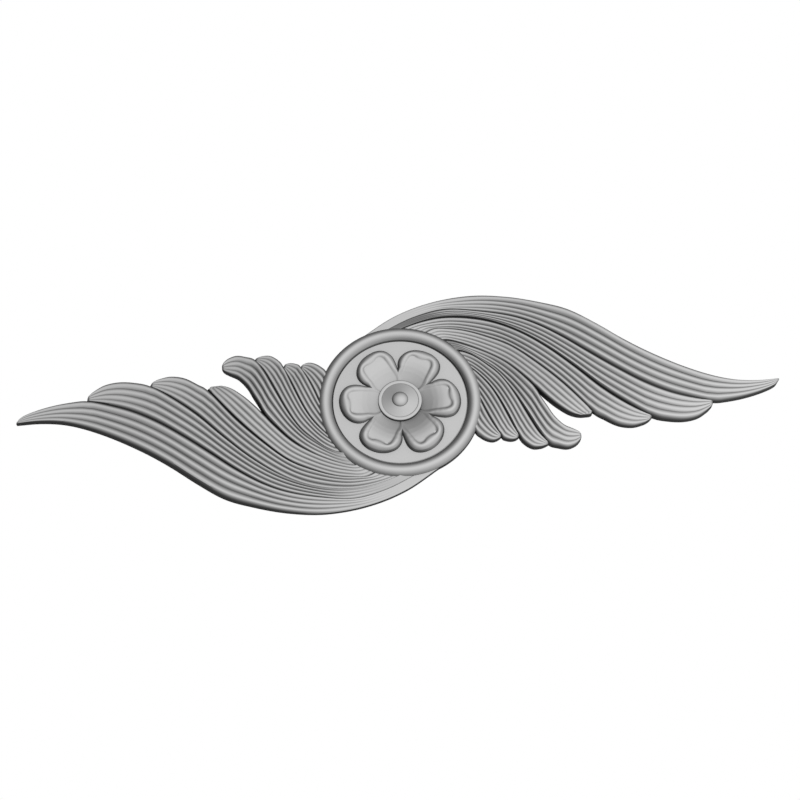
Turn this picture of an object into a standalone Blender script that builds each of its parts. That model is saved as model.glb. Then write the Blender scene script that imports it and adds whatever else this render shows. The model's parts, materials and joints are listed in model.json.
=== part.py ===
"""Winged rosette: a flat-backed furniture onlay, carved or cast in one piece.

A six-petalled flower with a domed button sits in a half-round ring. On each side a wing of eight reeded
feathers sweeps out from under the ring. The left wing is the right wing turned by half a turn.

Work is laid out in plan, in millimetres: x along the length, y up, z out of the back. It is then set
upright in metres: the back lies in the plane Y = 0 and the relief looks along -Y, with +Z up.
"""

import math

import bmesh
import bpy
import numpy as np
from mathutils import Matrix, Vector

MM = 0.001

# Rosette: half-round ring, flat ground that dips under the inner ends of the petals
GROUND_HEIGHT = 1.9
DIP_RADII = (14.0, 11.5)
DIP_HEIGHT = 1.2
RING_INNER_RADIUS = 26.5
RING_OUTER_RADIUS = 32.0
RING_CREST_HEIGHT = 3.7
# Its round turns into straight flanks at this share of its half width
RING_FLANK_START = 0.84

# Outline: a square edge of this height runs round both wings
EDGE_HEIGHT = 1.8

# Rough shapes start this far behind the back, and one flat cut trims them all
STOCK_DEPTH = 1.0

CUTTER_SIZE = (400, 20, 200)

# Button: rim, cone up to the dome, dome
BUTTON_RADIUS = 8.65
BUTTON_RIM_HEIGHT = 3.1
BUTTON_RIM_WIDTH = 1.5
DOME_RADIUS = 3.15
DOME_FOOT_HEIGHT = 3.9
DOME_TOP_HEIGHT = 4.9
BUTTON_ROUNDING = 0.4
BUTTON_ARRIS_DROP = 0.25
BUTTON_GROOVE_DROP = 0.15

# Petals: six, dished down to the button
PETAL_COUNT = 6
PETAL_CENTRE = (13.5, 0.0)
PETAL_WALL_TOP = 3.3
PETAL_LEAST_WALL_DROP = 0.5
PETAL_FOOT_DEPTH = 0.1
# The steep wall ends at this share of the way from the crease to the outline; the crest of the rolled rim lies
# further in, and both its place and its height change with the distance from the rosette's middle
PETAL_WALL_SHARE = 0.85
ROLL_RADII = (9.0, 17.0, 21.0)
ROLL_HEIGHTS = (0.1, 0.22, 0.36)
CREST_RADII = (9.0, 12.0, 15.0)
CREST_SHARES = (0.63, 0.72, 0.36)
# Slope of the rim, in degrees, at the top of the wall, halfway and on its crest
RIM_SLOPES = (38, 18, 0)
HOLLOW_SHARE = 0.5
CUP_RADII = (0.0, 6.0, 9.0, 13.0, 15.0, 17.0, 19.0, 24.0)
CUP_HEIGHTS = (0.9, 0.9, 1.7, 2.8, 3.25, 3.55, 3.7, 3.8)
PETAL_OUTLINE = [
    (12.6, 7.35), (14.2, 8.2), (16.4, 8.65), (18.7, 8.2), (20.7, 6.9), (22.4, 4.9), (23.6, 2.2), (24.0, -0.7),
    (23.7, -3.3), (22.6, -5.8), (20.7, -7.6), (18.0, -8.3), (15.4, -8.0), (13.2, -7.45), (10.8, -6.8),
    (8.75, -5.65), (5.0, -3.2), (3.4, 0.0), (5.0, 3.2), (8.75, 5.65), (10.8, 6.8),
]
PETAL_CREASE = [
    (12.5, 4.7), (14.2, 4.9), (16.4, 5.0), (18.2, 4.8), (19.1, 4.2), (19.4, 3.0), (19.2, 1.2), (19.4, -0.6),
    (20.0, -2.2), (19.8, -3.6), (18.5, -4.4), (17.0, -4.55), (15.0, -4.6), (13.0, -4.6), (11.0, -4.6),
    (9.0, -4.4), (6.0, -2.7), (5.0, 0.0), (6.0, 2.7), (9.0, 4.4), (10.8, 4.65),
]

# Feathers: four reeds each, the outer two a little wider
REED_JOINTS = (0.0, 0.27, 0.5, 0.73, 1.0)
REED_COUNT = len(REED_JOINTS) - 1
REED_DEPTH_RATIO = 0.165
REED_ROUNDNESS = 0.8
# From the crest of an outer reed its flank falls to the edge by this power of the offset; the upper flank of
# the topmost feather is sharper
FLANK_POWER = 3.2
UPPER_FLANK_POWERS = {1: 4.0}
OVERLAP = 0.25
VALLEY_DIP = 1.0
NOTCH_BLEND = 2.0
END_ROUNDING = 1.6
LEAST_FLANK = 0.05

# Lines between feathers, from under the ring outward: x, y and the height of the valley there
TOP_EDGE = [
    (-14.5, 28.3), (0, 37.5), (15, 42.9), (31, 45.0), (46, 43.6), (60, 40.0), (70, 36.2), (80, 29.5),
    (90, 21.9), (100, 15.2), (112, 8.5), (123, 3.6), (132, 0.9), (141, -0.1), (150, 0.1),
]
LINES = [
    [],
    [(-8, 28.8, 1.5), (-2.8, 32, 1.5), (8, 36.9, 1.5), (20, 39.7, 1.5), (32, 38.4, 1.7), (45, 35.5, 2.0),
     (55, 31.3, 2.1), (65, 24.9, 2.4), (75, 17.2, 2.8), (85, 9.7, 3.0), (95, 2.9, 2.8), (105, -2.4, 2.6),
     (115, -6.0, 2.2), (122.7, -8.0, 1.9)],
    [(-1, 30, 1.7), (3.5, 32.2, 1.7), (12, 34.9, 1.7), (20, 36, 1.8), (30, 35.2, 1.9), (40, 32.4, 2.0),
     (50, 27.2, 2.1), (60, 19.7, 2.4), (70, 10.4, 2.4), (80, 0.4, 2.1), (90, -7.7, 2.0), (98, -13, 1.8)],
    [(10, 28.5, 1.9), (15, 31, 1.9), (20, 30.95, 1.8), (27, 29.8, 1.7), (35, 26.9, 1.6), (45, 21.9, 1.7),
     (55, 13.3, 2.1), (65, 3.0, 2.2), (74.6, -8.9, 2.2)],
    [(16, 25, 1.9), (20, 25.9, 1.9), (26, 24.1, 1.9), (35, 19.7, 2.0), (43, 14.2, 2.0), (50, 6.9, 2.2),
     (53.6, 2.2, 2.0)],
    [(22.5, 20.2, 1.9), (25, 20.5, 2.0), (30, 18.2, 2.1), (35, 14, 2.3), (40, 8.8, 2.6), (45, 0.3, 3.0),
     (50, -10.5, 2.7), (53, -16.8, 2.3), (56.4, -21.9, 1.9)],
    [(27.5, 13.5, 2.1), (30, 11.8, 2.2), (35, 5.5, 2.5), (38.2, -0.5, 2.6), (41.5, -8.5, 2.3),
     (45.1, -18, 1.9)],
    [(30, 3, 2.2), (32, -2.8, 2.5), (34.7, -10, 2.6), (38.3, -17.5, 1.9)],
    [],
]

# Free ends beyond the last shared point of each line, along the outline
UPPER_ENDS = {
    1: TOP_EDGE,
    4: [(74.8, -9.3), (74.7, -10.0), (74.2, -10.6), (73.3, -10.9)],
    5: [(55.1, -0.9), (57.5, -5.5), (59.8, -10), (63, -13.9), (66.5, -16), (68.5, -17.3), (69.4, -18.5)],
}
LOWER_ENDS = {
    1: [(128, -7.9), (135, -6.9), (142, -5.1), (147.6, -2.8), (150, -0.1)],
    2: [(104, -14.8), (110, -15.4), (115.4, -14.5), (119.3, -12.3), (121.5, -10.4), (122.3, -9.2)],
    3: [(79.2, -12.5), (84.2, -15.5), (89.5, -16.6), (93.9, -15.8), (96.1, -14.8), (97.3, -13.8)],
    4: [(56.3, -1.2), (60.2, -5.3), (64.0, -8.5), (66.3, -9.9), (68.5, -10.7), (70.3, -11.0)],
    5: [(60, -23.4), (63.5, -24.1), (66.7, -23.1), (68.6, -21.4), (69.4, -19.9)],
    6: [(47, -21.0), (50, -23.1), (53, -23.2), (54.8, -22.7), (55.9, -22.2)],
    7: [(39.6, -18.8), (41.8, -19.4), (43.6, -19.2), (44.7, -18.6)],
    8: [(28, -9), (28.2, -14.5), (30.4, -17.2), (33, -18.8), (35.2, -19.2), (37, -18.6), (38, -17.9)],
}

# Crest of the reeds along each feather: share of its length, height
CRESTS = {
    1: [(0, 1.95), (0.25, 2.15), (0.41, 3.3), (0.54, 4.2), (0.67, 4.1), (0.79, 3.6), (0.9, 3.1), (1, 2.6)],
    2: [(0, 2.3), (0.2, 2.5), (0.34, 2.7), (0.5, 3.5), (0.67, 3.9), (0.78, 3.9), (0.9, 3.4), (1, 2.7)],
    3: [(0, 2.2), (0.35, 2.3), (0.48, 3.0), (0.65, 3.3), (0.83, 3.2), (0.92, 2.9), (1, 2.5)],
    4: [(0, 2.3), (0.35, 2.3), (0.6, 3.3), (0.77, 3.7), (0.9, 3.5), (1, 2.9)],
    5: [(0, 2.4), (0.2, 2.4), (0.38, 3.1), (0.58, 4.0), (0.7, 4.0), (0.8, 3.6), (0.9, 3.1), (1, 2.5)],
    6: [(0, 2.4), (0.25, 3.0), (0.55, 3.7), (0.77, 3.3), (0.9, 2.9), (1, 2.4)],
    7: [(0, 2.6), (0.3, 3.1), (0.6, 3.3), (0.8, 2.9), (1, 2.4)],
    8: [(0, 2.8), (0.4, 2.9), (0.7, 2.7), (1, 2.3)],
}
# Share of the length over which the reeds rise out of the smooth root
REED_STARTS = {
    1: (0.08, 0.42), 2: (0.05, 0.4), 3: (-0.1, 0.35), 4: (-0.15, 0.35), 5: (-0.05, 0.4), 6: (-0.2, 0.2),
}
FULLY_REEDED = (-0.2, -0.1)
# Towards the tip, from this share of the length on, the reeds lose this much of their depth
REED_FADE_START = 0.75
REED_FADE = 0.45
# Two roots lie like shingles: their lower side stands this much above their upper side
SHINGLES = {
    2: [(0, 1.8), (0.2, 1.8), (0.45, 0.5), (0.6, 0)],
    5: [(0, 1.8), (0.15, 1.8), (0.4, 0)],
}

# Fineness of the solid
SECTIONS = {1: 18, 2: 16, 3: 14, 4: 11, 5: 13, 6: 9, 7: 8, 8: 7}
END_CROWDING = 1.3
OUTER_REED_STEPS = (-1.0, -0.7, 0.3)
INNER_REED_STEPS = (-1.0, -0.4, 0.4)
RING_STEPS = 40
RING_ANGLES = (0, 20, 40, 65, 90, 115, 140, 160, 180)
BUTTON_STEPS = 24
DOME_ANGLES = (30, 60, 90)
CURVE_FINENESS = 24
PETAL_STEPS = 24


def curve_through(points, shares, closed=False):
    """Points at the given shares of the length of the smooth Catmull-Rom curve through the given points."""
    given = np.array(points, dtype=float)
    if closed:
        padded = np.vstack([given[-1], given, given[:2]])
    else:
        padded = np.vstack([2 * given[0] - given[1], given, 2 * given[-1] - given[-2]])
    share = np.linspace(0, 1, CURVE_FINENESS, endpoint=False)[:, None]
    runs = []
    for a, b, c, d in zip(padded, padded[1:], padded[2:], padded[3:]):
        runs.append(0.5 * (2 * b + (c - a) * share + (2 * a - 5 * b + 4 * c - d) * share**2
                           + (3 * b - 3 * c + d - a) * share**3))
    dense = np.vstack(runs + [given[:1] if closed else given[-1:]])
    travelled = np.concatenate([[0], np.cumsum(np.linalg.norm(np.diff(dense[:, :2], axis=0), axis=1))])
    wanted = shares * travelled[-1]
    return np.column_stack([np.interp(wanted, travelled, column) for column in dense.T]), travelled[-1]


def smooth_step(value, start, end):
    share = np.clip((value - start) / (end - start), 0, 1)
    return share * share * (3 - 2 * share)


def smooth_heights(stations, shares):
    """Heights at the given shares of a length: a smooth cubic through the stations."""
    places, heights = np.array(stations, dtype=float).T
    slopes = np.gradient(heights, places)
    number = np.clip(np.searchsorted(places, shares, side="right") - 1, 0, len(places) - 2)
    span = places[number + 1] - places[number]
    part = np.clip((shares - places[number]) / span, 0, 1)
    eased = part * part * (3 - 2 * part)
    leaving = slopes[number] * span * part * (1 - part) ** 2
    arriving = slopes[number + 1] * span * part**2 * (1 - part)
    return heights[number] * (1 - eased) + heights[number + 1] * eased + leaving - arriving


def arc_drop(offset, roundness):
    """How far a round reed has dropped at an offset from its crest: 0 on the crest, 1 at the joint."""
    return (1 - math.sqrt(1 - (roundness * offset) ** 2)) / (1 - math.sqrt(1 - roundness**2))


def feather_side(shared, free, shares, outward):
    """One long side of a feather: its plan points pushed outward by the overlap, and its edge heights."""
    points = list(shared) + [(x, y, EDGE_HEIGHT) for x, y in free]
    side, length = curve_through(points, shares)
    shared_length = curve_through(shared, shares)[1] if shared else 0
    if not free:
        shared_length += NOTCH_BLEND
    shared_part = smooth_step(shares * length, shared_length, shared_length - NOTCH_BLEND) * bool(shared)
    along = np.gradient(side[:, :2], axis=0)
    along /= np.linalg.norm(along, axis=1)[:, None]
    across = np.column_stack([-along[:, 1], along[:, 0]]) * outward
    plan = side[:, :2] + across * (OVERLAP * shared_part)[:, None]
    return plan, side[:, 2] - VALLEY_DIP * shared_part, length


def reed_offsets():
    """Positions across a feather, as (share of its width, number of the reed, offset from its crest)."""
    across = []
    for reed, (start, end) in enumerate(zip(REED_JOINTS, REED_JOINTS[1:])):
        steps = INNER_REED_STEPS
        if reed == 0:
            steps = OUTER_REED_STEPS
        if reed == REED_COUNT - 1:
            steps = [-1.0] + [-step for step in OUTER_REED_STEPS[:0:-1]]
        across += [(start + (end - start) * (step + 1) / 2, reed, step) for step in steps]
    return across + [(1.0, REED_COUNT - 1, 1.0)]


def feather_sections(number):
    """The top surface of one feather as a grid of points: one row for each section along it."""
    shares = 1 - (1 - np.linspace(0, 1, SECTIONS[number])) ** END_CROWDING
    upper, upper_edge, length = feather_side(LINES[number - 1], UPPER_ENDS.get(number, []), shares, 1)
    lower, lower_edge, _ = feather_side(LINES[number], LOWER_ENDS.get(number, []), shares, -1)
    crest = smooth_heights(CRESTS[number], shares)
    reeded = smooth_step(shares, *REED_STARTS.get(number, FULLY_REEDED))
    reeded *= 1 - REED_FADE * smooth_step(shares, REED_FADE_START, 1)
    rounded = np.clip((length * (1 - shares)) / END_ROUNDING, 0, 1)
    end = np.sqrt(1 - (1 - rounded) ** 2)
    shingle = smooth_heights(SHINGLES.get(number, [(0, 0), (1, 0)]), shares)
    rows = []
    for i in range(len(shares)):
        width = np.linalg.norm(upper[i] - lower[i])
        reed_depth = REED_DEPTH_RATIO * width / REED_COUNT * reeded[i]
        row = []
        for share, reed, offset in reed_offsets():
            top = crest[i] + shingle[i] * (share - 0.5)
            drop = reed_depth * arc_drop(offset, REED_ROUNDNESS)
            if reed == 0 and offset < 0:
                flank = abs(offset) ** UPPER_FLANK_POWERS.get(number, FLANK_POWER)
                drop = drop * (1 - flank) + max(top - upper_edge[i], LEAST_FLANK) * flank
            if reed == REED_COUNT - 1 and offset > 0:
                flank = offset**FLANK_POWER
                drop = drop * (1 - flank) + max(top - lower_edge[i], LEAST_FLANK) * flank
            edge = upper_edge[i] * (1 - share) + lower_edge[i] * share
            height = edge + (top - drop - edge) * end[i]
            x, y = upper[i] * (1 - share) + lower[i] * share
            row.append((x, y, height))
        rows.append(row)
    return rows


def upright(point):
    """From the plan in millimetres to the standing part in metres."""
    x, y, z = point
    return Vector((x * MM, -z * MM, y * MM))


def add_object(name, bm, material, collection):
    bmesh.ops.recalc_face_normals(bm, faces=bm.faces)
    mesh = bpy.data.meshes.new(name)
    bm.to_mesh(mesh)
    bm.free()
    mesh.materials.append(material)
    obj = bpy.data.objects.new(name, mesh)
    collection.objects.link(obj)
    return obj


def add_feather(number, turn, material, collection):
    """A reeded feather: the grid of its sections, thickened back to the stock depth."""
    rows = feather_sections(number)
    bm = bmesh.new()
    grid = [[bm.verts.new(upright(point)) for point in row] for row in rows]
    for first, second in zip(grid, grid[1:]):
        for a, b, c, d in zip(first, first[1:], second[1:], second):
            bm.faces.new((a, b, c, d))
    extruded = bmesh.ops.extrude_face_region(bm, geom=bm.faces[:])
    for element in extruded["geom"]:
        if isinstance(element, bmesh.types.BMVert):
            element.co.y = STOCK_DEPTH * MM
    bmesh.ops.rotate(bm, verts=bm.verts, matrix=Matrix.Rotation(turn, 3, "Y"))
    bmesh.ops.triangulate(bm, faces=bm.faces)
    side = "right" if turn == 0 else "left"
    return add_object(f"{side}_feather_{number}", bm, material, collection)


def cup_height(points):
    """Height of the petals' hollow above each plan point: it climbs from the button outward."""
    return np.interp(np.linalg.norm(points, axis=1), CUP_RADII, CUP_HEIGHTS)


def petal_rings():
    """Nested closed rings of one petal, from its foot at the ground to the middle of its hollow."""
    shares = np.linspace(0, 1, PETAL_STEPS, endpoint=False)
    both, _ = curve_through(np.hstack([PETAL_OUTLINE, PETAL_CREASE]), shares, closed=True)
    outer, inner = both[:, :2], both[:, 2:]
    radius = np.linalg.norm(outer, axis=1)
    crest_share = np.interp(radius, CREST_RADII, CREST_SHARES)
    roll = np.interp(radius, ROLL_RADII, ROLL_HEIGHTS)
    rings = [np.column_stack([outer, np.full(PETAL_STEPS, GROUND_HEIGHT - PETAL_FOOT_DEPTH)])]
    steepest = math.radians(RIM_SLOPES[0])
    for degrees in RIM_SLOPES:
        slope = math.radians(degrees)
        share = crest_share + (PETAL_WALL_SHARE - crest_share) * math.sin(slope) / math.sin(steepest)
        rise = (math.cos(slope) - math.cos(steepest)) / (1 - math.cos(steepest))
        points = inner + (outer - inner) * share[:, None]
        cup = cup_height(points)
        wall = np.minimum(PETAL_WALL_TOP, cup - PETAL_LEAST_WALL_DROP)
        rings.append(np.column_stack([points, wall + (cup + roll - wall) * rise]))
    rings.append(np.column_stack([inner, cup_height(inner)]))
    centre = np.array(PETAL_CENTRE)
    points = centre + (inner - centre) * HOLLOW_SHARE
    rings.append(np.column_stack([points, cup_height(points)]))
    return rings


def add_petal(number, material, collection):
    """One petal: nested rings joined by bands, closed over the hollow and under the ground."""
    rings = petal_rings()
    foot = rings[0].copy()
    foot[:, 2] = -STOCK_DEPTH
    bm = bmesh.new()
    loops = [[bm.verts.new(upright(point)) for point in ring] for ring in [foot] + rings]
    for first, second in zip(loops, loops[1:]):
        for i in range(PETAL_STEPS):
            j = (i + 1) % PETAL_STEPS
            bm.faces.new((first[i], first[j], second[j], second[i]))
    bm.faces.new(loops[0])
    bm.faces.new(loops[-1])
    turn = Matrix.Rotation(2 * math.pi * number / PETAL_COUNT, 3, "Y")
    bmesh.ops.rotate(bm, verts=bm.verts, matrix=turn)
    bmesh.ops.triangulate(bm, faces=bm.faces)
    return add_object(f"petal_{number + 1}", bm, material, collection)


def add_turned(name, profile, steps, material, collection):
    """A turned shape about the rosette's axis, from a profile of (radius, height) pairs."""
    bm = bmesh.new()
    verts = [bm.verts.new(upright((radius, 0, height))) for radius, height in profile]
    for first, second in zip(verts, verts[1:]):
        bm.edges.new((first, second))
    obj = add_object(name, bm, material, collection)
    screw = obj.modifiers.new("turn", "SCREW")
    screw.axis = "Y"
    screw.steps = steps
    screw.render_steps = steps
    screw.use_merge_vertices = True
    screw.merge_threshold = 0.00001
    screw.use_normal_calculate = True
    return obj


def ring_round(share):
    """Height of the ring's round over its foot: a circle that runs out straight on its flanks."""
    start = min(share, RING_FLANK_START)
    round_height = math.sqrt(1 - start**2)
    return round_height - (share - start) * start / round_height


def rosette_profile():
    """Flat ground inside a half-round ring, closed behind at the stock depth."""
    middle = (RING_INNER_RADIUS + RING_OUTER_RADIUS) / 2
    half_width = (RING_OUTER_RADIUS - RING_INNER_RADIUS) / 2
    profile = [(0, -STOCK_DEPTH), (RING_OUTER_RADIUS, -STOCK_DEPTH)]
    for degrees in RING_ANGLES:
        angle = math.radians(degrees)
        foot = EDGE_HEIGHT if degrees < 90 else GROUND_HEIGHT
        height = foot + (RING_CREST_HEIGHT - foot) * ring_round(abs(math.cos(angle)))
        profile.append((middle + half_width * math.cos(angle), height))
    profile.append((RING_INNER_RADIUS, GROUND_HEIGHT))
    return profile + [(DIP_RADII[0], GROUND_HEIGHT), (DIP_RADII[1], DIP_HEIGHT), (0, DIP_HEIGHT)]


def button_profile():
    """A rounded rim, a shallow cone and a dome."""
    inside = BUTTON_RADIUS - BUTTON_RIM_WIDTH
    profile = [(0, -STOCK_DEPTH), (BUTTON_RADIUS, -STOCK_DEPTH),
               (BUTTON_RADIUS, BUTTON_RIM_HEIGHT - BUTTON_ARRIS_DROP),
               (BUTTON_RADIUS - BUTTON_ROUNDING, BUTTON_RIM_HEIGHT),
               (inside + BUTTON_ROUNDING, BUTTON_RIM_HEIGHT),
               (inside, BUTTON_RIM_HEIGHT - BUTTON_GROOVE_DROP), (DOME_RADIUS, DOME_FOOT_HEIGHT)]
    for degrees in DOME_ANGLES:
        angle = math.radians(degrees)
        rise = (DOME_TOP_HEIGHT - DOME_FOOT_HEIGHT) * math.sin(angle)
        profile.append((max(DOME_RADIUS * math.cos(angle), 0), DOME_FOOT_HEIGHT + rise))
    return profile


def add_slab_behind(material, collection):
    """The slab that planes the back flat: everything behind the plane Y = 0."""
    bm = bmesh.new()
    bmesh.ops.create_cube(bm, size=1)
    bmesh.ops.scale(bm, vec=Vector(CUTTER_SIZE) * MM, verts=bm.verts)
    bmesh.ops.translate(bm, vec=Vector((0, CUTTER_SIZE[1] / 2 * MM, 0)), verts=bm.verts)
    return add_object("behind_the_back", bm, material, collection)


def matte_grey_resin():
    material = bpy.data.materials.new("matte_grey")
    material.use_nodes = True
    shader = material.node_tree.nodes["Principled BSDF"]
    shader.inputs["Base Color"].default_value = (0.5, 0.5, 0.5, 1)
    shader.inputs["Roughness"].default_value = 0.85
    shader.inputs["Metallic"].default_value = 0
    return material


def main():
    for obj in list(bpy.data.objects):
        bpy.data.objects.remove(obj, do_unlink=True)
    scene = bpy.context.scene
    onlay = bpy.data.collections.new("winged_rosette_onlay")
    carving = bpy.data.collections.new("carving_joined_on")
    cutters = bpy.data.collections.new("cutters")
    for collection in (onlay, carving, cutters):
        scene.collection.children.link(collection)
    grey = matte_grey_resin()

    body = add_turned("winged_rosette", rosette_profile(), RING_STEPS, grey, onlay)
    for turn in (0, math.pi):
        for number in CRESTS:
            add_feather(number, turn, grey, carving)
    for number in range(PETAL_COUNT):
        add_petal(number, grey, carving)
    add_turned("button", button_profile(), BUTTON_STEPS, grey, carving)

    behind = add_slab_behind(grey, cutters)
    for helper in list(carving.objects) + list(cutters.objects):
        helper.hide_render = True
        helper.display_type = "WIRE"

    joined = body.modifiers.new("join the carving", "BOOLEAN")
    joined.operation = "UNION"
    joined.operand_type = "COLLECTION"
    joined.collection = carving
    joined.solver = "EXACT"
    flat_back = body.modifiers.new("flat back", "BOOLEAN")
    flat_back.operation = "DIFFERENCE"
    flat_back.object = behind
    flat_back.solver = "EXACT"


main()
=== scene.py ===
# %% [markdown]
# A winged rosette, modelled as the onlay that is glued on a drawer front or a door head.
# It is taken to be cast in grey resin from a carved pattern: a flower in a round ring, with a wing of eight
# reeded feathers on each side. The left wing is the right one turned by half a turn.
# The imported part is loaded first, because it fixes where the onlay is and how big it is.

# %% Load the part
import json
import math

import bpy
import numpy as np
from mathutils import Matrix, Vector

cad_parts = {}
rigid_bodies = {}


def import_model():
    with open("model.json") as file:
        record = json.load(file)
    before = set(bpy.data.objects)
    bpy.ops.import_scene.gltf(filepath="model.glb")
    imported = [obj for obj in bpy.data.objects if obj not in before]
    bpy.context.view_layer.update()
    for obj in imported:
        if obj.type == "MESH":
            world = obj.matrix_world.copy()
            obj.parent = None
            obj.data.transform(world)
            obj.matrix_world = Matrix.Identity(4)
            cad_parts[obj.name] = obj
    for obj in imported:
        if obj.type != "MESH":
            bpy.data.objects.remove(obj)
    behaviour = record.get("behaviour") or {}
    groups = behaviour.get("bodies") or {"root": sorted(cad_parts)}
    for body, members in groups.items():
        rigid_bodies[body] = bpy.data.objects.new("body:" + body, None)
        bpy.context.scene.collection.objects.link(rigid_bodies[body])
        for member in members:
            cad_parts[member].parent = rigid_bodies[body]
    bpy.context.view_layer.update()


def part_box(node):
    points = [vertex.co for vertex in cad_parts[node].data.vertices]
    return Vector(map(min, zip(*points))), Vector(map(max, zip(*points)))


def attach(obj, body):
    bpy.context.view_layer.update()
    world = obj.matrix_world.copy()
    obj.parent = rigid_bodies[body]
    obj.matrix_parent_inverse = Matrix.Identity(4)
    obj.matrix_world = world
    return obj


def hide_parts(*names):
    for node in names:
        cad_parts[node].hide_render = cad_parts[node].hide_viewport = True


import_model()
low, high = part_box("winged_rosette")
print("the onlay is", [round(side * 1000, 1) for side in high - low], "mm")

# %% [markdown]
# The sizes come next. The carving is laid out in plan, as on a drawing: x along the length, y up, and z the
# height above the flat back, all in millimetres. It is then set upright, with the back in the plane Y = 0.
# A few points on each line between two feathers are enough, because a smooth curve is drawn through them.

# %% Sizes of the rosette, in millimetres
MM = 0.001
GROUND_HEIGHT = 1.9
# Under the inner ends of the petals the ground dips between these radii
DIP_RADII = (14.0, 11.5)
DIP_HEIGHT = 1.2
RING_INNER_RADIUS = 26.5
RING_OUTER_RADIUS = 32.0
RING_CREST_HEIGHT = 3.7
EDGE_HEIGHT = 1.8

BUTTON_RADIUS = 8.65
BUTTON_RIM_HEIGHT = 3.1
BUTTON_RIM_WIDTH = 1.5
DOME_RADIUS = 3.15
DOME_FOOT_HEIGHT = 3.9
DOME_TOP_HEIGHT = 4.9

PETAL_COUNT = 6
PETAL_CENTRE = (13.5, 0.0)
PETAL_WALL_TOP = 3.3
# The steep wall ends at this share of the way from the crease to the outline. The crest of the rolled rim
# lies further in, and its place and height change with the distance from the rosette's middle
PETAL_WALL_SHARE = 0.85
PETAL_LEAST_WALL_DROP = 0.5
PETAL_FOOT_DEPTH = 0.1
ROLL_RADII = (9.0, 17.0, 21.0)
ROLL_HEIGHTS = (0.1, 0.22, 0.36)
CREST_RADII = (9.0, 12.0, 15.0)
CREST_SHARES = (0.63, 0.72, 0.36)
CUP_RADII = (0.0, 6.0, 9.0, 13.0, 15.0, 17.0, 19.0, 24.0)
CUP_HEIGHTS = (0.9, 0.9, 1.7, 2.8, 3.25, 3.55, 3.7, 3.8)
PETAL_OUTLINE = [
    (12.6, 7.35), (14.2, 8.2), (16.4, 8.65), (18.7, 8.2), (20.7, 6.9), (22.4, 4.9), (23.6, 2.2), (24.0, -0.7),
    (23.7, -3.3), (22.6, -5.8), (20.7, -7.6), (18.0, -8.3), (15.4, -8.0), (13.2, -7.45), (10.8, -6.8),
    (8.75, -5.65), (5.0, -3.2), (3.4, 0.0), (5.0, 3.2), (8.75, 5.65), (10.8, 6.8),
]
PETAL_CREASE = [
    (12.5, 4.7), (14.2, 4.9), (16.4, 5.0), (18.2, 4.8), (19.1, 4.2), (19.4, 3.0), (19.2, 1.2), (19.4, -0.6),
    (20.0, -2.2), (19.8, -3.6), (18.5, -4.4), (17.0, -4.55), (15.0, -4.6), (13.0, -4.6), (11.0, -4.6),
    (9.0, -4.4), (6.0, -2.7), (5.0, 0.0), (6.0, 2.7), (9.0, 4.4), (10.8, 4.65),
]
print("rosette", 2 * RING_OUTER_RADIUS, "mm across")

# %% Sizes of the feathers, in millimetres
REED_JOINTS = (0.0, 0.27, 0.5, 0.73, 1.0)
REED_DEPTH_RATIO = 0.165
REED_ROUNDNESS = 0.8
# From the crest of an outer reed its flank falls to the edge by this power of the offset; the upper flank of
# the topmost feather is sharper
FLANK_POWER = 3.2
UPPER_FLANK_POWERS = {1: 4.0}
OVERLAP = 0.25
VALLEY_DIP = 1.0
NOTCH_BLEND = 2.0
END_ROUNDING = 1.6
LEAST_FLANK = 0.05

# Lines between feathers, from under the ring outward: x, y and the height of the valley there
TOP_EDGE = [
    (-14.5, 28.3), (0, 37.5), (15, 42.9), (31, 45.0), (46, 43.6), (60, 40.0), (70, 36.2), (80, 29.5),
    (90, 21.9), (100, 15.2), (112, 8.5), (123, 3.6), (132, 0.9), (141, -0.1), (150, 0.1),
]
LINES = [
    [],
    [(-8, 28.8, 1.5), (-2.8, 32, 1.5), (8, 36.9, 1.5), (20, 39.7, 1.5), (32, 38.4, 1.7), (45, 35.5, 2.0),
     (55, 31.3, 2.1), (65, 24.9, 2.4), (75, 17.2, 2.8), (85, 9.7, 3.0), (95, 2.9, 2.8), (105, -2.4, 2.6),
     (115, -6.0, 2.2), (122.7, -8.0, 1.9)],
    [(-1, 30, 1.7), (3.5, 32.2, 1.7), (12, 34.9, 1.7), (20, 36, 1.8), (30, 35.2, 1.9), (40, 32.4, 2.0),
     (50, 27.2, 2.1), (60, 19.7, 2.4), (70, 10.4, 2.4), (80, 0.4, 2.1), (90, -7.7, 2.0), (98, -13, 1.8)],
    [(10, 28.5, 2.3), (15, 31, 2.3), (20, 30.95, 2.1), (27, 29.8, 1.8), (35, 26.9, 1.6), (45, 21.9, 1.7),
     (55, 13.3, 2.1), (65, 3.0, 2.2), (74.6, -8.9, 2.2)],
    [(16, 25, 1.9), (20, 25.9, 1.9), (26, 24.1, 1.9), (35, 19.7, 2.0), (43, 14.2, 2.0), (50, 6.9, 2.2),
     (53.6, 2.2, 2.0)],
    [(22.5, 20.2, 1.9), (25, 20.5, 2.0), (30, 18.2, 2.1), (35, 14, 2.3), (40, 8.8, 2.6), (45, 0.3, 3.0),
     (50, -10.5, 2.7), (53, -16.8, 2.3), (56.4, -21.9, 1.9)],
    [(27.5, 13.5, 2.1), (30, 11.8, 2.2), (35, 5.5, 2.5), (38.2, -0.5, 2.6), (41.5, -8.5, 2.3),
     (45.1, -18, 1.9)],
    [(30, 3, 2.2), (32, -2.8, 2.5), (34.7, -10, 2.6), (38.3, -17.5, 1.9)],
    [],
]
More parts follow.
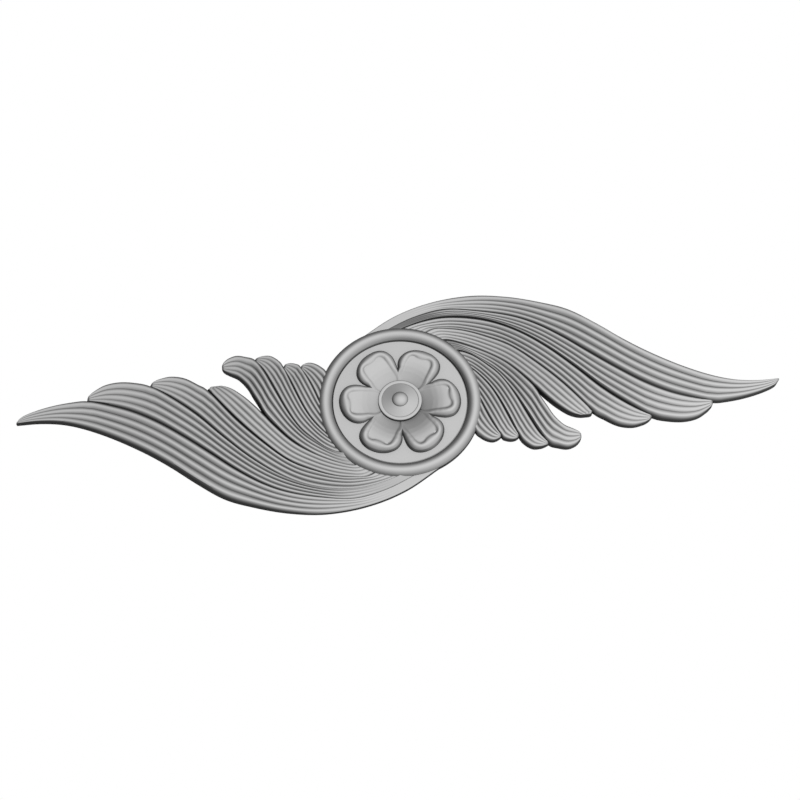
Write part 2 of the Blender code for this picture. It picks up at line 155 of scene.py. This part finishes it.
# Free ends beyond the last shared point of each line, along the outline
UPPER_ENDS = {
    1: TOP_EDGE,
    4: [(74.8, -9.3), (74.7, -10.0), (74.2, -10.6), (73.3, -10.9)],
    5: [(55.1, -0.9), (57.5, -5.5), (59.8, -10), (63, -13.9), (66.5, -16), (68.5, -17.3), (69.4, -18.5)],
}
LOWER_ENDS = {
    1: [(128, -7.9), (135, -6.9), (142, -5.1), (147.6, -2.8), (150, -0.1)],
    2: [(104, -14.8), (110, -15.4), (115.4, -14.5), (119.3, -12.3), (121.5, -10.4), (122.3, -9.2)],
    3: [(79.2, -12.5), (84.2, -15.5), (89.5, -16.6), (93.9, -15.8), (96.1, -14.8), (97.3, -13.8)],
    4: [(56.3, -1.2), (60.2, -5.3), (64.0, -8.5), (66.3, -9.9), (68.5, -10.7), (70.3, -11.0)],
    5: [(60, -23.4), (63.5, -24.1), (66.7, -23.1), (68.6, -21.4), (69.4, -19.9)],
    6: [(47, -21.0), (50, -23.1), (53, -23.2), (54.8, -22.7), (55.9, -22.2)],
    7: [(39.6, -18.8), (41.8, -19.4), (43.6, -19.2), (44.7, -18.6)],
    8: [(28, -9), (28.2, -14.5), (30.4, -17.2), (33, -18.8), (35.2, -19.2), (37, -18.6), (38, -17.9)],
}
# Crest of the reeds along each feather: share of its length, height
CRESTS = {
    1: [(0, 1.95), (0.25, 2.15), (0.41, 3.3), (0.54, 4.2), (0.67, 4.1), (0.79, 3.6), (0.9, 3.1), (1, 2.6)],
    2: [(0, 2.3), (0.2, 2.5), (0.34, 2.7), (0.5, 3.5), (0.67, 3.9), (0.78, 3.9), (0.9, 3.4), (1, 2.7)],
    3: [(0, 2.2), (0.35, 2.3), (0.48, 3.0), (0.65, 3.3), (0.83, 3.2), (0.92, 2.9), (1, 2.5)],
    4: [(0, 2.3), (0.35, 2.3), (0.6, 3.3), (0.77, 3.7), (0.9, 3.5), (1, 2.9)],
    5: [(0, 2.4), (0.2, 2.4), (0.38, 3.1), (0.58, 4.0), (0.7, 4.0), (0.8, 3.6), (0.9, 3.1), (1, 2.5)],
    6: [(0, 2.4), (0.25, 3.0), (0.55, 3.7), (0.77, 3.3), (0.9, 2.9), (1, 2.4)],
    7: [(0, 2.6), (0.3, 3.1), (0.6, 3.3), (0.8, 2.9), (1, 2.4)],
    8: [(0, 2.8), (0.4, 2.9), (0.7, 2.7), (1, 2.3)],
}
# Share of the length over which the reeds rise out of the smooth root
REED_STARTS = {
    1: (0.08, 0.42), 2: (0.05, 0.4), 3: (-0.1, 0.35), 4: (-0.15, 0.35), 5: (-0.05, 0.4), 6: (-0.2, 0.2),
}
# Two roots lie like shingles: their lower side stands this much above their upper side
SHINGLES = {
    2: [(0, 0.8), (0.08, 1.3), (0.2, 1.8), (0.45, 0.5), (0.6, 0)],
    5: [(0, 1.8), (0.15, 1.8), (0.4, 0)],
}
# The other feathers are reeded over their whole length
FULLY_REEDED = (-0.2, -0.1)
# Towards the tip, from this share of the length on, the reeds lose this much of their depth
REED_FADE_START = 0.75
REED_FADE = 0.45
print("wing with", len(CRESTS), "feathers")

# %% [markdown]
# A carver draws each feather with a bent batten: a springy strip that runs through a few nails. The smooth
# curve below does the same through a few points. The helpers for heights ease from one value to the next,
# so that the relief swells and sinks without a step.

# %% The bent batten and the eased heights
CURVE_FINENESS = 24


def curve_through(points, shares, closed=False):
    """Points at the given shares of the length of the smooth Catmull-Rom curve through the given points."""
    given = np.array(points, dtype=float)
    if closed:
        padded = np.vstack([given[-1], given, given[:2]])
    else:
        padded = np.vstack([2 * given[0] - given[1], given, 2 * given[-1] - given[-2]])
    share = np.linspace(0, 1, CURVE_FINENESS, endpoint=False)[:, None]
    runs = []
    for a, b, c, d in zip(padded, padded[1:], padded[2:], padded[3:]):
        runs.append(0.5 * (2 * b + (c - a) * share + (2 * a - 5 * b + 4 * c - d) * share**2
                           + (3 * b - 3 * c + d - a) * share**3))
    dense = np.vstack(runs + [given[:1] if closed else given[-1:]])
    travelled = np.concatenate([[0], np.cumsum(np.linalg.norm(np.diff(dense[:, :2], axis=0), axis=1))])
    wanted = shares * travelled[-1]
    return np.column_stack([np.interp(wanted, travelled, column) for column in dense.T]), travelled[-1]


def smooth_step(value, start, end):
    """Eases from 0 at the start to 1 at the end; the start may be the larger of the two."""
    share = np.clip((value - start) / (end - start), 0, 1)
    return share * share * (3 - 2 * share)


def smooth_heights(stations, shares):
    """Heights at the given shares of a length: a smooth cubic through the stations."""
    places, heights = np.array(stations, dtype=float).T
    slopes = np.gradient(heights, places)
    number = np.clip(np.searchsorted(places, shares, side="right") - 1, 0, len(places) - 2)
    span = places[number + 1] - places[number]
    part = np.clip((shares - places[number]) / span, 0, 1)
    eased = part * part * (3 - 2 * part)
    leaving = slopes[number] * span * part * (1 - part) ** 2
    arriving = slopes[number + 1] * span * part**2 * (1 - part)
    return heights[number] * (1 - eased) + heights[number + 1] * eased + leaving - arriving


def arc_drop(offset, roundness):
    """How far a round reed has dropped at an offset from its crest: 0 on the crest, 1 at the joint."""
    return (1 - np.sqrt(1 - (roundness * offset) ** 2)) / (1 - math.sqrt(1 - roundness**2))


edge_length = curve_through([(x, y, 0) for x, y in TOP_EDGE], np.array([0.0]))[1]
print("the top edge of a wing is", round(edge_length), "mm long")

# %% [markdown]
# On the real onlay a feather is a long leaf with four rounded reeds cut along it. The gouge leaves a sharp
# groove between two reeds, and the outer reeds roll down to the next feather. Each feather is therefore
# worked out as a surface: its two long sides are curves, and straight rows run across from side to side,
# with the height of the reeds added in each row.

# %% The surface of one feather
REED_COUNT = len(REED_JOINTS) - 1
ACROSS_STEPS = 9
JOINT_CROWDING = 0.6
# Share of the width at which the middle of a feather lies
MIDLINE = 0.5
FEATHER_ROWS = {1: 150, 2: 130, 3: 110, 4: 84, 5: 80, 6: 52, 7: 44, 8: 40}
END_CROWDING = 1.5


def feather_side(shared, free, shares, outward):
    """One long side of a feather: its plan points pushed outward by the overlap, and its edge heights."""
    points = list(shared) + [(x, y, EDGE_HEIGHT) for x, y in free]
    side, length = curve_through(points, shares)
    shared_length = curve_through(shared, shares)[1] if shared else 0
    if not free:
        shared_length += NOTCH_BLEND
    shared_part = smooth_step(shares * length, shared_length, shared_length - NOTCH_BLEND) * bool(shared)
    along = np.gradient(side[:, :2], axis=0)
    along /= np.linalg.norm(along, axis=1)[:, None]
    across = np.column_stack([-along[:, 1], along[:, 0]]) * outward
    plan = side[:, :2] + across * (OVERLAP * shared_part)[:, None]
    return plan, side[:, 2] - VALLEY_DIP * shared_part, length


def reed_offsets():
    """Across a feather: share of the width, number of the reed, offset from its crest from -1 to 1."""
    shares, reeds, offsets = [], [], []
    even = np.linspace(-1, 1, ACROSS_STEPS + 1)[:-1]
    # closer rows near the joints, where the reed is steepest
    steps = JOINT_CROWDING * np.sin(even * math.pi / 2) + (1 - JOINT_CROWDING) * even
    for reed, (start, end) in enumerate(zip(REED_JOINTS, REED_JOINTS[1:])):
        shares.extend(start + (end - start) * (steps + 1) / 2)
        reeds.extend([reed] * ACROSS_STEPS)
        offsets.extend(steps)
    return np.array(shares + [1]), np.array(reeds + [REED_COUNT - 1]), np.array(offsets + [1])


def feather_surface(number):
    """The surface of one feather as a grid of points: a row for each section along it."""
    shares = 1 - (1 - np.linspace(0, 1, FEATHER_ROWS[number])) ** END_CROWDING
    upper, upper_edge, length = feather_side(LINES[number - 1], UPPER_ENDS.get(number, []), shares, 1)
    lower, lower_edge, _ = feather_side(LINES[number], LOWER_ENDS.get(number, []), shares, -1)
    crest = smooth_heights(CRESTS[number], shares)[:, None]
    reeded = smooth_step(shares, *REED_STARTS.get(number, FULLY_REEDED))
    reeded *= 1 - REED_FADE * smooth_step(shares, REED_FADE_START, 1)
    rounded = np.clip((length * (1 - shares)) / END_ROUNDING, 0, 1)
    end = np.sqrt(1 - (1 - rounded) ** 2)
    across, reed, offset = reed_offsets()
    if number in SHINGLES:
        crest = crest + smooth_heights(SHINGLES[number], shares)[:, None] * (across - MIDLINE)

    width = np.linalg.norm(upper - lower, axis=1)
    reed_drop = (REED_DEPTH_RATIO * width / REED_COUNT * reeded)[:, None] * arc_drop(offset, REED_ROUNDNESS)
    upper_flank = np.abs(offset) ** UPPER_FLANK_POWERS.get(number, FLANK_POWER)
    lower_flank = np.abs(offset) ** FLANK_POWER
    upper_fall = np.maximum(crest - upper_edge[:, None], LEAST_FLANK)
    lower_fall = np.maximum(crest - lower_edge[:, None], LEAST_FLANK)
    upper_drop = reed_drop * (1 - upper_flank) + upper_fall * upper_flank
    lower_drop = reed_drop * (1 - lower_flank) + lower_fall * lower_flank
    drop = np.where((reed == 0) & (offset < 0), upper_drop, reed_drop)
    drop = np.where((reed == REED_COUNT - 1) & (offset > 0), lower_drop, drop)

    edge = upper_edge[:, None] * (1 - across) + lower_edge[:, None] * across
    height = edge + (crest - drop - edge) * end[:, None]
    plan = upper[:, None] * (1 - across)[:, None] + lower[:, None] * across[:, None]
    return np.dstack([plan, height])


print("feather 1 has", feather_surface(1).shape[:2], "points")

# %% [markdown]
# Each feather starts as a flat grid. Its points are moved to the surface that was worked out, and edit mode
# then extrudes it straight back to the plane of the back, as a cast piece has no undercut. A second copy,
# turned by half a turn about the middle of the rosette, makes the other wing.

# %% Helpers for modelling
def clear_selection():
    """Back to object mode, with nothing selected."""
    if bpy.context.object and bpy.context.object.mode != "OBJECT":
        bpy.ops.object.mode_set(mode="OBJECT")
    bpy.ops.object.select_all(action="DESELECT")


def place_points(obj, plan):
    """Sets the mesh's points from plan millimetres, standing upright in metres."""
    upright = np.column_stack([plan[:, 0], -plan[:, 2], plan[:, 1]]) * MM
    obj.data.vertices.foreach_set("co", upright.ravel())
    obj.data.update()


def extrude_to_back(obj):
    """Edit mode: the whole surface is extruded, and the new end is pressed flat on the back plane."""
    bpy.ops.object.mode_set(mode="EDIT")
    bpy.ops.mesh.select_all(action="SELECT")
    bpy.ops.mesh.extrude_region_move()
    bpy.ops.transform.resize(value=(1, 0, 1), center_override=(0, 0, 0))
    bpy.ops.mesh.dissolve_faces()
    bpy.ops.mesh.select_all(action="SELECT")
    bpy.ops.mesh.normals_make_consistent(inside=False)
    bpy.ops.object.mode_set(mode="OBJECT")


def turned_copy(obj, name, turn):
    """A copy of a piece with its own mesh, turned about the rosette's axis."""
    clear_selection()
    obj.select_set(True)
    bpy.context.view_layer.objects.active = obj
    bpy.ops.object.duplicate()
    copy = bpy.context.object
    copy.name = name
    copy.rotation_euler.y = turn
    bpy.ops.object.transform_apply(location=False, rotation=True, scale=False)
    return copy


print("helpers ready")

# %% The sixteen feathers
def add_feather(number):
    """One feather of the right wing: a flat grid, moved to its surface and extruded to the back."""
    points = feather_surface(number)
    rows, columns = points.shape[:2]
    clear_selection()
    bpy.ops.mesh.primitive_grid_add(x_subdivisions=columns - 1, y_subdivisions=rows - 1, size=1)
    feather = bpy.context.object
    feather.name = f"right_feather_{number}"
    place_points(feather, points.reshape(-1, 3))
    extrude_to_back(feather)
    return feather


feathers = []
for feather_number in CRESTS:
    feather = add_feather(feather_number)
    feathers.append(feather)
    feathers.append(turned_copy(feather, f"left_feather_{feather_number}", math.pi))
print(len(feathers), "feathers,", sum(len(f.data.polygons) for f in feathers), "faces")

# %% [markdown]
# The flower, the button and the ring are round, so each one starts as a grid too, wrapped round until its two
# ends meet: every row is a closed ring of points, from the outline in to the middle. On a carved pattern such
# forms are turned on a lathe or cut with a round gouge. Ring, button and petals are then extruded back too.

# %% Helper for pieces made of closed rings
WELD_DISTANCE = 0.000001


def add_ringed_piece(name, rings):
    """A piece from closed rings of plan points, the outermost first and the last drawn to one point."""
    count = len(rings[0])
    wrapped = [np.vstack([ring, ring[:1]]) for ring in rings]
    clear_selection()
    bpy.ops.mesh.primitive_grid_add(x_subdivisions=count, y_subdivisions=len(rings) - 1, size=1)
    piece = bpy.context.object
    piece.name = name
    place_points(piece, np.vstack(wrapped))
    bpy.ops.object.mode_set(mode="EDIT")
    bpy.ops.mesh.select_all(action="SELECT")
    bpy.ops.mesh.remove_doubles(threshold=WELD_DISTANCE)
    bpy.ops.object.mode_set(mode="OBJECT")
    extrude_to_back(piece)
    return piece


def turned_rings(profile, count):
    """Rings of a turned shape from a profile of (radius, height) pairs."""
    angles = np.linspace(0, 2 * math.pi, count, endpoint=False)
    circle = np.column_stack([np.cos(angles), np.sin(angles)])
    return [np.column_stack([circle * radius, np.full(count, height)]) for radius, height in profile]


print("a ring of the rosette's ground:", turned_rings([(RING_INNER_RADIUS, GROUND_HEIGHT)], 8)[0].shape)

# %% Ring and ground
RING_POINTS = 240
RING_ROUND_STEPS = 28
# From this share of the half width outward the round runs out straight
RING_FLANK_START = 0.86
# A low wall and a small ditch close the ring off from the ground inside it
RING_WALL_WIDTH = 0.3
RING_WALL_RISE = 0.15
DITCH_WIDTH = 0.3
DITCH_DEPTH = 0.25
GROUND_RADII = (24, 19)


def ring_round(share):
    """Height of the ring's round over its foot: a circle that runs out straight on its flanks."""
    start = min(share, RING_FLANK_START)
    round_height = math.sqrt(1 - start**2)
    return round_height - (share - start) * start / round_height


def ring_profile():
    """Radius and height pairs from the ring's outer foot over its round to the middle of the ground."""
    inner = RING_INNER_RADIUS + RING_WALL_WIDTH
    middle = (inner + RING_OUTER_RADIUS) / 2
    half_width = (RING_OUTER_RADIUS - inner) / 2
    profile = []
    for angle in np.linspace(0, math.pi, RING_ROUND_STEPS + 1):
        foot = EDGE_HEIGHT if angle < math.pi / 2 else GROUND_HEIGHT + RING_WALL_RISE
        height = foot + (RING_CREST_HEIGHT - foot) * ring_round(abs(math.cos(angle)))
        profile.append((middle + half_width * math.cos(angle), height))
    profile.append((RING_INNER_RADIUS, GROUND_HEIGHT - DITCH_DEPTH))
    profile.append((RING_INNER_RADIUS - DITCH_WIDTH, GROUND_HEIGHT))
    profile += [(radius, GROUND_HEIGHT) for radius in GROUND_RADII]
    # under the petals the ground dips, so that it never shows in their hollows
    return profile + [(DIP_RADII[0], GROUND_HEIGHT), (DIP_RADII[1], DIP_HEIGHT), (0, DIP_HEIGHT)]


onlay = add_ringed_piece("winged_rosette_carving", turned_rings(ring_profile(), RING_POINTS))
print("ring and ground:", len(onlay.data.polygons), "faces")

# %% Button with its dome
BUTTON_POINTS = 120
BUTTON_ARRIS_DROP = 0.25
BUTTON_ROUNDING = 0.4
BUTTON_GROOVE_DROP = 0.15
DOME_STEPS = 14
ROUNDING_SHARES = np.array((0.0, 0.25, 0.5, 0.75, 1.0))


def button_profile():
    """Radius and height pairs: a rounded rim, a shallow step inside it, a slope up to the dome."""
    inside = BUTTON_RADIUS - BUTTON_RIM_WIDTH
    profile = [(BUTTON_RADIUS, BUTTON_RIM_HEIGHT - BUTTON_ARRIS_DROP)]
    for angle in ROUNDING_SHARES[1:] * math.pi / 2:
        profile.append((BUTTON_RADIUS - BUTTON_ROUNDING * (1 - math.cos(angle)),
                        BUTTON_RIM_HEIGHT - BUTTON_ARRIS_DROP * (1 - math.sin(angle))))
    for angle in ROUNDING_SHARES * math.pi / 2:
        profile.append((inside + BUTTON_ROUNDING * (1 - math.sin(angle)),
                        BUTTON_RIM_HEIGHT - BUTTON_GROOVE_DROP * (1 - math.cos(angle))))
    profile.append((DOME_RADIUS, DOME_FOOT_HEIGHT))
    for angle in np.linspace(0, math.pi / 2, DOME_STEPS + 1)[1:]:
        rise = (DOME_TOP_HEIGHT - DOME_FOOT_HEIGHT) * math.sin(angle)
        profile.append((DOME_RADIUS * math.cos(angle), DOME_FOOT_HEIGHT + rise))
    return profile


button = add_ringed_piece("button", turned_rings(button_profile(), BUTTON_POINTS))
print("button:", len(button.data.polygons), "faces")

# %% [markdown]
# A petal has a steep outer wall, a rolled rim, a fine crease inside the rim, and a hollow that falls towards
# the button. All six petals are the same, so one is modelled, and the others are turned copies of it.

# %% Petals
PETAL_POINTS = 120
RIM_OUTER_STEPS = 9
RIM_INNER_STEPS = 8
RIM_ANGLE = math.radians(38)
CREASE_ROUNDNESS = 0.4
HOLLOW_STEPS = 9


def cup_height(points):
    """Height of the hollow of a petal, which depends on the distance from the rosette's middle."""
    return np.interp(np.linalg.norm(points, axis=1), CUP_RADII, CUP_HEIGHTS)


def petal_rings():
    """Closed rings of one petal, from its outline over the rolled rim and the crease into its hollow."""
    shares = np.linspace(0, 1, PETAL_POINTS, endpoint=False)
    both, _ = curve_through(np.hstack([PETAL_OUTLINE, PETAL_CREASE]), shares, closed=True)
    outer, inner = both[:, :2], both[:, 2:]
    radius = np.linalg.norm(outer, axis=1)
    crest_share = np.interp(radius, CREST_RADII, CREST_SHARES)
    roll = np.interp(radius, ROLL_RADII, ROLL_HEIGHTS)
    rings = [np.column_stack([outer, np.full(PETAL_POINTS, GROUND_HEIGHT - PETAL_FOOT_DEPTH)])]
    # from the top of the wall over a round to the crest of the rim
    for angle in np.linspace(RIM_ANGLE, 0, RIM_OUTER_STEPS + 1):
        share = crest_share + (PETAL_WALL_SHARE - crest_share) * math.sin(angle) / math.sin(RIM_ANGLE)
        rise = (math.cos(angle) - math.cos(RIM_ANGLE)) / (1 - math.cos(RIM_ANGLE))
        points = inner + (outer - inner) * share[:, None]
        cup = cup_height(points)
        wall = np.minimum(PETAL_WALL_TOP, cup - PETAL_LEAST_WALL_DROP)
        rings.append(np.column_stack([points, wall + (cup + roll - wall) * rise]))
    # and gently down its inner side to the crease
    for turn in np.linspace(0, 1, RIM_INNER_STEPS + 1)[1:]:
        points = inner + (outer - inner) * (crest_share * (1 - turn))[:, None]
        heights = cup_height(points) + roll * (1 - arc_drop(turn, CREASE_ROUNDNESS))
        rings.append(np.column_stack([points, heights]))
    centre = np.array(PETAL_CENTRE)
    for share in np.linspace(1, 0, HOLLOW_STEPS + 1)[1:]:
        points = centre + (inner - centre) * share
        rings.append(np.column_stack([points, cup_height(points)]))
    return rings


first_petal = add_ringed_piece("petal_1", petal_rings())
petals = [first_petal]
for petal_number in range(1, PETAL_COUNT):
    turn = 2 * math.pi * petal_number / PETAL_COUNT
    petals.append(turned_copy(first_petal, f"petal_{petal_number + 1}", turn))
print(len(petals), "petals of", len(first_petal.data.polygons), "faces")

# %% [markdown]
# The onlay is one casting, so the pieces are joined into one mesh with a Boolean union. The manifold solver
# is used because it is quick on closed meshes with this many faces. Creases steeper than the smoothing angle
# stay sharp.

# %% Join everything into one mesh
SMOOTHING_DEGREES = 32

carving = bpy.data.collections.new("carving_joined_on")
bpy.context.scene.collection.children.link(carving)
for piece in feathers + petals + [button]:
    for old in list(piece.users_collection):
        old.objects.unlink(piece)
    carving.objects.link(piece)

clear_selection()
onlay.select_set(True)
bpy.context.view_layer.objects.active = onlay
for piece in list(carving.objects):
    union = onlay.modifiers.new("join", "BOOLEAN")
    union.operation = "UNION"
    union.solver = "MANIFOLD"
    union.object = piece
    bpy.ops.object.modifier_apply(modifier=union.name)
for piece in list(carving.objects):
    bpy.data.objects.remove(piece)
bpy.data.collections.remove(carving)

bpy.ops.object.shade_smooth_by_angle(angle=math.radians(SMOOTHING_DEGREES))
onlay.data.calc_loop_triangles()
print("the onlay is one mesh of", len(onlay.data.loop_triangles), "triangles")

# %% [markdown]
# The finish is taken to be a hard casting resin, matte neutral grey. Shade is painted into its colour: the
# further the surface is tilted away from the front, which the surface normal tells, the darker the grey is
# painted, so the slopes and grooves are painted dark and the crests and flat parts stay pale. How dark each
# slope is painted was matched to the photograph by measured tones.
# A slight cloudiness and a fine grain keep it from looking like one flat colour.
# The back of a casting is sanded level before it is glued, so only the back shows faint streaks along it.

# %% Grey resin
RESIN_GREY = 0.5
RESIN_ROUGHNESS = 0.62
RESIN_GLOSS = 0.35
CLOUD_SIZE = 0.018
CLOUD_DETAIL = 4
CLOUDINESS = 0.03
GRAIN_SIZE = 0.0005
GRAIN_DETAIL = 1
GRAIN_STRENGTH = 0.15
GRAIN_HEIGHT = 0.00003
SANDING_STRETCH = (25, 1, 700)
SANDING_DETAIL = 5
SANDING_SHADE = 0.72
FULL_TILT = 90
# Painted shade: the tilt of the surface in degrees, and how much of the resin's grey is left there
PAINTED_SHADE_BY_TILT = [
    (0, 1.0), (4, 0.96), (8, 0.88), (15, 0.71), (22, 0.54), (30, 0.4), (38, 0.3), (47, 0.21), (58, 0.09),
    (68, 0.02), (FULL_TILT, 0.0),
]


def grey_resin():
    """The resin's material: clouded grey, with shade painted darker on slopes, streaked on the back, with a
    fine grain.
    """
    material = bpy.data.materials.new("matte_grey")
    material.use_nodes = True
    nodes = material.node_tree.nodes
    link = material.node_tree.links.new
    shader = nodes["Principled BSDF"]
    shader.inputs["Roughness"].default_value = RESIN_ROUGHNESS
    shader.inputs["Metallic"].default_value = 0
    shader.inputs["Specular IOR Level"].default_value = RESIN_GLOSS

    place = nodes.new("ShaderNodeTexCoord")
    clouds = nodes.new("ShaderNodeTexNoise")
    clouds.inputs["Scale"].default_value = 1 / CLOUD_SIZE
    clouds.inputs["Detail"].default_value = CLOUD_DETAIL
    link(place.outputs["Object"], clouds.inputs["Vector"])
    tint = nodes.new("ShaderNodeMix")
    tint.data_type = "RGBA"
    pale = RESIN_GREY * (1 + CLOUDINESS)
    dark = RESIN_GREY * (1 - CLOUDINESS)
    tint.inputs["A"].default_value = (dark, dark, dark, 1)
    tint.inputs["B"].default_value = (pale, pale, pale, 1)
    link(clouds.outputs["Fac"], tint.inputs["Factor"])

    # Painted shade: the grey is multiplied down by how far the surface tilts from the front, so slopes and
    # grooves look shaded
    surface = nodes.new("ShaderNodeNewGeometry")
    facing = nodes.new("ShaderNodeVectorMath")
    facing.operation = "DOT_PRODUCT"
    facing.inputs[1].default_value = (0, -1, 0)
    link(surface.outputs["Normal"], facing.inputs[0])
    front_or_back = nodes.new("ShaderNodeMath")
    front_or_back.operation = "ABSOLUTE"
    link(facing.outputs["Value"], front_or_back.inputs[0])
    tilt = nodes.new("ShaderNodeMath")
    tilt.operation = "ARCCOSINE"
    link(front_or_back.outputs[0], tilt.inputs[0])
    quarter = nodes.new("ShaderNodeMath")
    quarter.operation = "DIVIDE"
    quarter.inputs[1].default_value = math.radians(FULL_TILT)
    link(tilt.outputs[0], quarter.inputs[0])
    painted_shade_ramp = nodes.new("ShaderNodeValToRGB")
    stops = painted_shade_ramp.color_ramp.elements
    for number, (degrees, left) in enumerate(PAINTED_SHADE_BY_TILT):
        stop = stops[number] if number < len(stops) else stops.new(degrees / FULL_TILT)
        stop.position = degrees / FULL_TILT
        stop.color = (left, left, left, 1)
    link(quarter.outputs[0], painted_shade_ramp.inputs["Fac"])
    # The painted shade is multiplied into the clouded grey here
    painted_shade_applied = nodes.new("ShaderNodeMix")
    painted_shade_applied.data_type = "RGBA"
    painted_shade_applied.blend_type = "MULTIPLY"
    painted_shade_applied.inputs["Factor"].default_value = 1
    link(tint.outputs["Result"], painted_shade_applied.inputs["A"])
    link(painted_shade_ramp.outputs["Color"], painted_shade_applied.inputs["B"])

    back = nodes.new("ShaderNodeMath")
    back.operation = "MULTIPLY"
    back.inputs[1].default_value = -1
    back.use_clamp = True
    link(facing.outputs["Value"], back.inputs[0])
    stretch = nodes.new("ShaderNodeMapping")
    stretch.inputs["Scale"].default_value = SANDING_STRETCH
    link(place.outputs["Object"], stretch.inputs["Vector"])
    streaks = nodes.new("ShaderNodeTexNoise")
    streaks.inputs["Scale"].default_value = 1
    streaks.inputs["Detail"].default_value = SANDING_DETAIL
    link(stretch.outputs["Vector"], streaks.inputs["Vector"])
    streak_shade = nodes.new("ShaderNodeMix")
    streak_shade.data_type = "RGBA"
    streak_shade.inputs["A"].default_value = (SANDING_SHADE, SANDING_SHADE, SANDING_SHADE, 1)
    streak_shade.inputs["B"].default_value = (1, 1, 1, 1)
    link(streaks.outputs["Fac"], streak_shade.inputs["Factor"])
    sanded = nodes.new("ShaderNodeMix")
    sanded.data_type = "RGBA"
    sanded.blend_type = "MULTIPLY"
    link(back.outputs[0], sanded.inputs["Factor"])
    link(painted_shade_applied.outputs["Result"], sanded.inputs["A"])
    link(streak_shade.outputs["Result"], sanded.inputs["B"])
    link(sanded.outputs["Result"], shader.inputs["Base Color"])

    grain = nodes.new("ShaderNodeTexNoise")
    grain.inputs["Scale"].default_value = 1 / GRAIN_SIZE
    grain.inputs["Detail"].default_value = GRAIN_DETAIL
    link(place.outputs["Object"], grain.inputs["Vector"])
    bump = nodes.new("ShaderNodeBump")
    bump.inputs["Strength"].default_value = GRAIN_STRENGTH
    bump.inputs["Distance"].default_value = GRAIN_HEIGHT
    link(grain.outputs["Fac"], bump.inputs["Height"])
    link(bump.outputs["Normal"], shader.inputs["Normal"])
    return material


resin = grey_resin()
onlay.data.materials.clear()
onlay.data.materials.append(resin)
print("finish:", resin.name)

# %% Put the piece in the frame
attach(onlay, "root")
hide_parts("winged_rosette")
print("the onlay rides on the root body")

# %% [markdown]
# The onlay hangs upright, as on a cabinet, and the camera looks at it from a little below, as the photograph
# does. One soft key light stands low on the right, so the slopes that face it are bright and the others dark.
# It throws no cast shadow, because none shows in the photograph. The white surroundings give the fill, and
# the camera sees them as plain white.

# %% Camera
CAMERA_DISTANCE = 0.6775
CAMERA_TILT = math.radians(25)
CAMERA_ROLL = math.radians(3.73)
FIELD_OF_VIEW = math.radians(26.12)
SLIDE_UP = 0.0009

right = Vector((math.cos(CAMERA_ROLL), 0, -math.sin(CAMERA_ROLL)))
upright = Vector((math.sin(CAMERA_ROLL), 0, math.cos(CAMERA_ROLL)))
out = Vector((0, -1, 0))
backward = out * math.cos(CAMERA_TILT) - upright * math.sin(CAMERA_TILT)
above = upright * math.cos(CAMERA_TILT) + out * math.sin(CAMERA_TILT)
target = out * (EDGE_HEIGHT / 2 * MM) + above * SLIDE_UP

clear_selection()
bpy.ops.object.camera_add()
camera = bpy.context.object
camera.matrix_world = Matrix.Translation(target + backward * CAMERA_DISTANCE) @ Matrix(
    (right, above, backward)).transposed().to_4x4()
camera.data.angle = FIELD_OF_VIEW
bpy.context.scene.camera = camera
print("camera at", [round(value, 3) for value in camera.location])

# %% Floor, light and background
FLOOR_HEIGHT = -0.75
FLOOR_SIZE = 6
FLOOR_GREY = 0.8
FLOOR_ROUGHNESS = 0.9
KEY_DIRECTION = Vector((0.65, -0.34, -0.68))
KEY_DISTANCE = 1.3
KEY_SIZE = 0.35
KEY_POWER = 29.5
FILL_STRENGTH = 0.55
SEEN_STRENGTH = 1.0
WHITE = (1, 1, 1, 1)

clear_selection()
bpy.ops.mesh.primitive_plane_add(size=FLOOR_SIZE, location=(0, 0, FLOOR_HEIGHT))
floor = bpy.context.object
floor.name = "floor"
pale = bpy.data.materials.new("pale_floor")
pale.use_nodes = True
pale_shader = pale.node_tree.nodes["Principled BSDF"]
pale_shader.inputs["Base Color"].default_value = (FLOOR_GREY, FLOOR_GREY, FLOOR_GREY, 1)
pale_shader.inputs["Roughness"].default_value = FLOOR_ROUGHNESS
floor.data.materials.append(pale)

bpy.ops.object.light_add(type="AREA")
key = bpy.context.object
key.location = KEY_DIRECTION.normalized() * KEY_DISTANCE
key.rotation_euler = KEY_DIRECTION.to_track_quat("Z", "Y").to_euler()
key.data.shape = "DISK"
key.data.size = KEY_SIZE
key.data.energy = KEY_POWER
key.data.use_shadow = False

world = bpy.data.worlds.new("studio")
bpy.context.scene.world = world
world.use_nodes = True
world_nodes = world.node_tree.nodes
background = world_nodes["Background"]
background.inputs["Color"].default_value = WHITE
background.inputs["Strength"].default_value = FILL_STRENGTH
seen = world_nodes.new("ShaderNodeBackground")
seen.inputs["Color"].default_value = WHITE
seen.inputs["Strength"].default_value = SEEN_STRENGTH
rays = world_nodes.new("ShaderNodeLightPath")
choose = world_nodes.new("ShaderNodeMixShader")
world_link = world.node_tree.links.new
world_link(rays.outputs["Is Camera Ray"], choose.inputs[0])
world_link(background.outputs[0], choose.inputs[1])
world_link(seen.outputs[0], choose.inputs[2])
world_link(choose.outputs[0], world_nodes["World Output"].inputs["Surface"])
bpy.context.scene.view_settings.view_transform = "Standard"
print("key light", KEY_POWER, "W, fill", FILL_STRENGTH)
